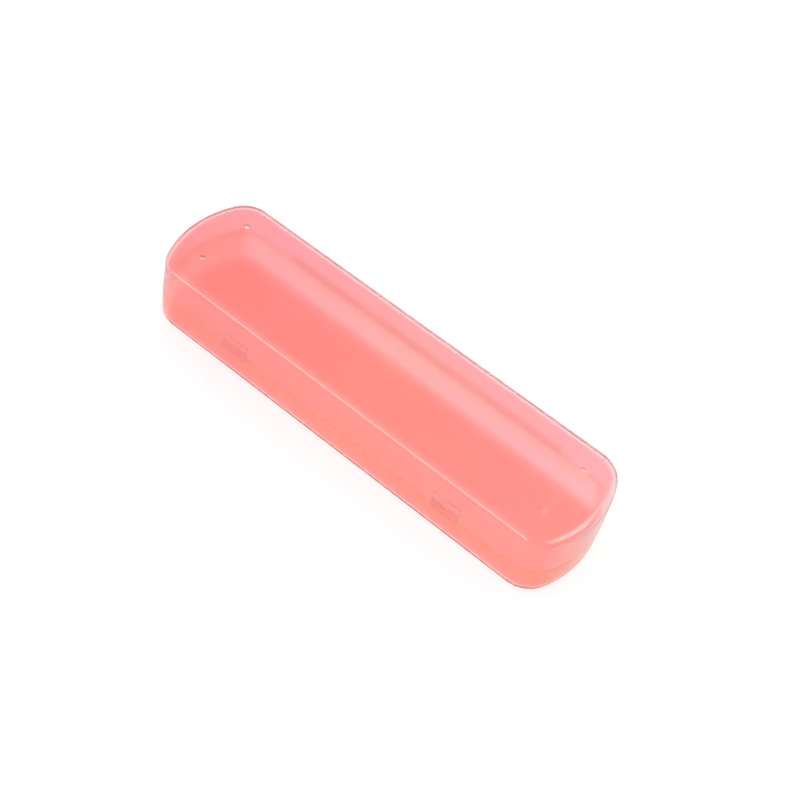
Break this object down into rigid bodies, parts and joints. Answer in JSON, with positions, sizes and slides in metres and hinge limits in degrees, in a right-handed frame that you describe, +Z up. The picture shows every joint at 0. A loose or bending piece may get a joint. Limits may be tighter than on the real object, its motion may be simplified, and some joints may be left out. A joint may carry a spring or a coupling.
{
  "type": "travel toothbrush case",
  "caption": "Long shallow travel case with bowed ends: a base tray and a vented lid folded shut on a living hinge, with snap catches on the front for carrying a toothbrush.",
  "frame": {"origin": "centre of the base's flat underside", "axes": "+X along the case, +Y from the front with the snap catches to the back with the hinge, +Z up through the lid"},
  "size_m": [0.205, 0.0566, 0.0325],
  "materials": {
    "pink_plastic": "translucent, softly glossy"
  },
  "bodies": {
    "base": {"base_tray": "pink_plastic", "living_hinge": "pink_plastic"},
    "lid": {"lid": "pink_plastic"}
  },
  "joints": [
    {"name": "lid_hinge", "type": "hinge", "parent": "base", "child": "lid", "pos_m": [0, 0.0289, 0.01515], "axis": [-1, 0, 0], "range_deg": [0, 160], "deforming": ["living_hinge"]}
  ]
}
